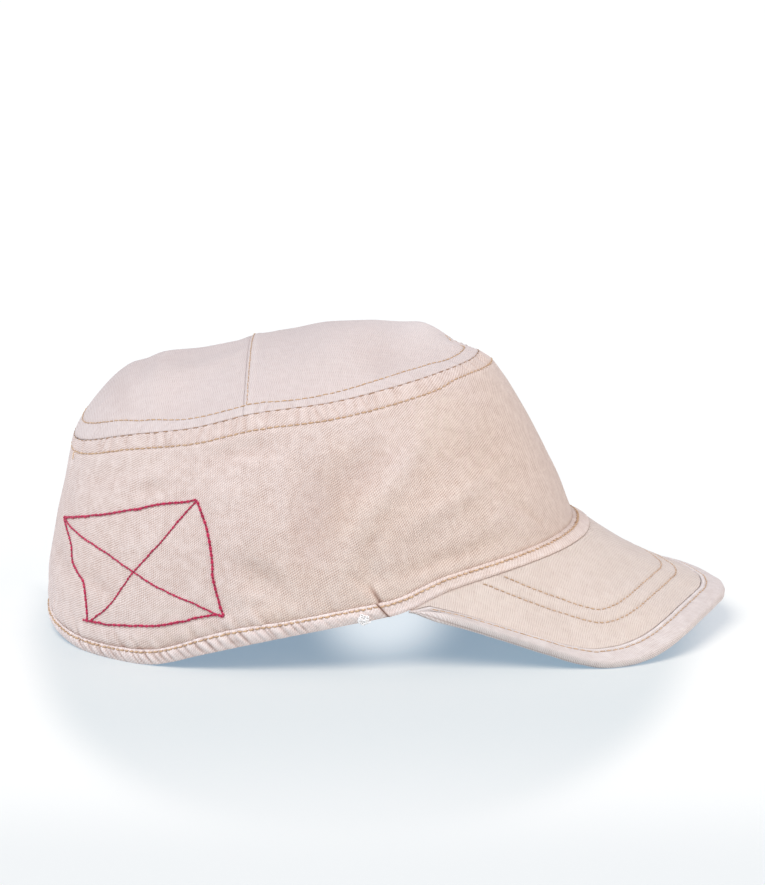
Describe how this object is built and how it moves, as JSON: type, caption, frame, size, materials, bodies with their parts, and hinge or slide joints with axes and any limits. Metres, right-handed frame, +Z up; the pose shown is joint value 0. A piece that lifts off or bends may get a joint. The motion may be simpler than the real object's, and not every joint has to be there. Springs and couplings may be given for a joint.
{
  "type": "army cap",
  "caption": "Soft army cap with a backward-leaning flat-topped crown, gathered rear hem, front band and a curved bound peak.",
  "frame": {"origin": "on the surface that the cap rests on, under the middle of its length and width", "axes": "+X towards the tip of the peak, +Y towards the wearer's left, +Z up through the top of the crown"},
  "size_m": [0.2578, 0.1616, 0.112],
  "materials": {
    "crown_twill": "washed sand-coloured cotton twill, matt",
    "hem_twill": "washed cotton twill, gathered and turned, matt",
    "peak_twill": "cotton twill over a flexible board, matt",
    "tan_thread": "golden tan sewing thread, slight sheen",
    "crimson_thread": "thick crimson embroidery thread, slight sheen",
    "white_thread": "white tacking thread, slight sheen"
  },
  "bodies": {
    "root": {"crown_side": "crown_twill", "top_panel_back": "crown_twill", "top_panel_front": "crown_twill", "hem_casing": "hem_twill", "front_band": "hem_twill", "peak": "peak_twill", "peak_rim": "peak_twill"}
  },
  "joints": []
}
